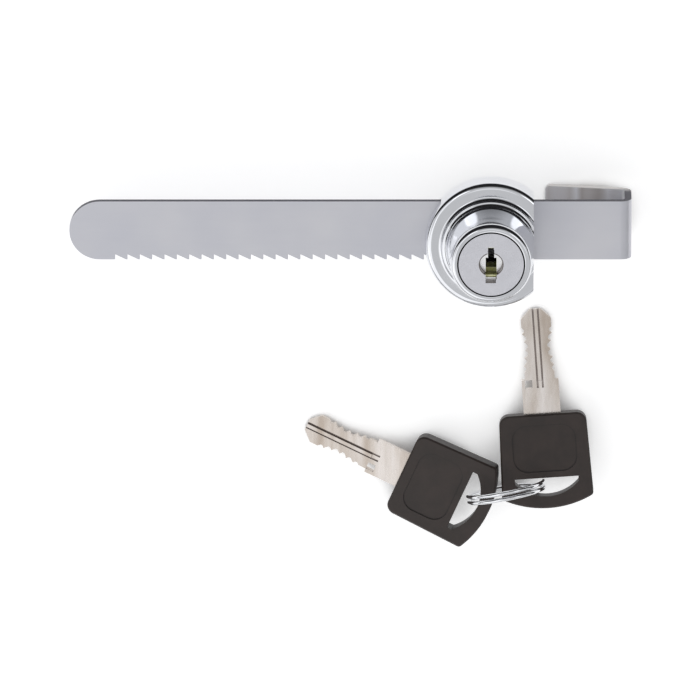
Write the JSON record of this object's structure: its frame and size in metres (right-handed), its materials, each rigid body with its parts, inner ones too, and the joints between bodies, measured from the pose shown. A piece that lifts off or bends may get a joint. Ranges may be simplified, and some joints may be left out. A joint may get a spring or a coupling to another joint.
{
  "type": "sliding glass door lock",
  "caption": "Ratchet lock for sliding glass showcase doors: saw-tooth hooked bar, keyed sliding head and keys on a split ring.",
  "frame": {"origin": "on the ratchet bar's flat glass side, on its centre line, level with the plug axis while the head is in its rest place", "axes": "+X along the bar towards its hook, +Y from the toothed edge to the plain edge, +Z away from the glass, along the plug towards the user"},
  "size_m": [0.1365, 0.096, 0.0324],
  "materials": {
    "bar_steel": "satin nickel-chrome plating on flat steel",
    "head_chrome": "bright chrome plating on die-cast zinc",
    "wafer_brass": "stamped brass",
    "small_steel": "zinc-plated",
    "key_nickel": "nickel-plated brass",
    "key_plastic": "satin black-brown, moulded",
    "ring_steel": "bright nickel-plated wire"
  },
  "bodies": {
    "bar": {"ratchet_bar": "bar_steel"},
    "head": {"lock_housing": "head_chrome", "rear_cover": "head_chrome", "cover_screws": "small_steel", "pawl_spring": "small_steel"},
    "plug": {"cylinder_plug": "head_chrome", "plug_clip": "small_steel", "wafer_springs": "small_steel"},
    "pawl": {"pawl": "small_steel"},
    "wafer_1": {"wafer_1": "wafer_brass"},
    "wafer_2": {"wafer_2": "wafer_brass"},
    "wafer_3": {"wafer_3": "wafer_brass"},
    "wafer_4": {"wafer_4": "wafer_brass"},
    "wafer_5": {"wafer_5": "wafer_brass"},
    "wafer_6": {"wafer_6": "wafer_brass"},
    "ring": {"key_ring": "ring_steel"},
    "key_left": {"key_left_blade": "key_nickel", "key_left_head": "key_plastic"},
    "key_right": {"key_right_blade": "key_nickel", "key_right_head": "key_plastic"}
  },
  "joints": [
    {"name": "head_slide", "type": "slide", "parent": "bar", "child": "head", "axis": [-1, 0, 0], "range_m": [-0.0205, 0.115]},
    {"name": "plug_turn", "type": "hinge", "parent": "head", "child": "plug", "pos_m": [0, -0.0028, 0.0197], "axis": [0, 0, 1], "range_deg": [0, 90]},
    {"name": "pawl_lift", "type": "slide", "parent": "head", "child": "pawl", "axis": [0, 1, 0], "range_m": [0, 0.0021], "deforming": ["pawl_spring"]},
    {"name": "wafer_1_slide", "type": "slide", "parent": "plug", "child": "wafer_1", "axis": [0, 1, 0], "range_m": [0, 0.0009]},
    {"name": "wafer_2_slide", "type": "slide", "parent": "plug", "child": "wafer_2", "axis": [0, -1, 0], "range_m": [0, 0.0009]},
    {"name": "wafer_3_slide", "type": "slide", "parent": "plug", "child": "wafer_3", "axis": [0, 1, 0], "range_m": [0, 0.0009]},
    {"name": "wafer_4_slide", "type": "slide", "parent": "plug", "child": "wafer_4", "axis": [0, -1, 0], "range_m": [0, 0.0009]},
    {"name": "wafer_5_slide", "type": "slide", "parent": "plug", "child": "wafer_5", "axis": [0, 1, 0], "range_m": [0, 0.0009]},
    {"name": "wafer_6_slide", "type": "slide", "parent": "plug", "child": "wafer_6", "axis": [0, -1, 0], "range_m": [0, 0.0009]},
    {"name": "ring_lift", "type": "slide", "parent": "bar", "child": "ring", "axis": [0, 0, 1], "range_m": [0, 0.05]},
    {"name": "key_left_swing", "type": "hinge", "parent": "ring", "child": "key_left", "pos_m": [-0.00482, -0.07069, -0.00473], "axis": [0, 0, 1], "range_deg": [-3, 50]},
    {"name": "key_right_swing", "type": "hinge", "parent": "ring", "child": "key_right", "pos_m": [0.01301, -0.06754, -0.0047], "axis": [0, 0, 1], "range_deg": [-60, 3]}
  ],
  "couplings": [
    {"joint": "pawl_lift", "follows": "plug_turn", "m_per_rad": 0.0012731},
    {"joint": "wafer_2_slide", "follows": "wafer_1_slide", "ratio": 1},
    {"joint": "wafer_3_slide", "follows": "wafer_1_slide", "ratio": 1},
    {"joint": "wafer_4_slide", "follows": "wafer_1_slide", "ratio": 1},
    {"joint": "wafer_5_slide", "follows": "wafer_1_slide", "ratio": 1},
    {"joint": "wafer_6_slide", "follows": "wafer_1_slide", "ratio": 1}
  ]
}
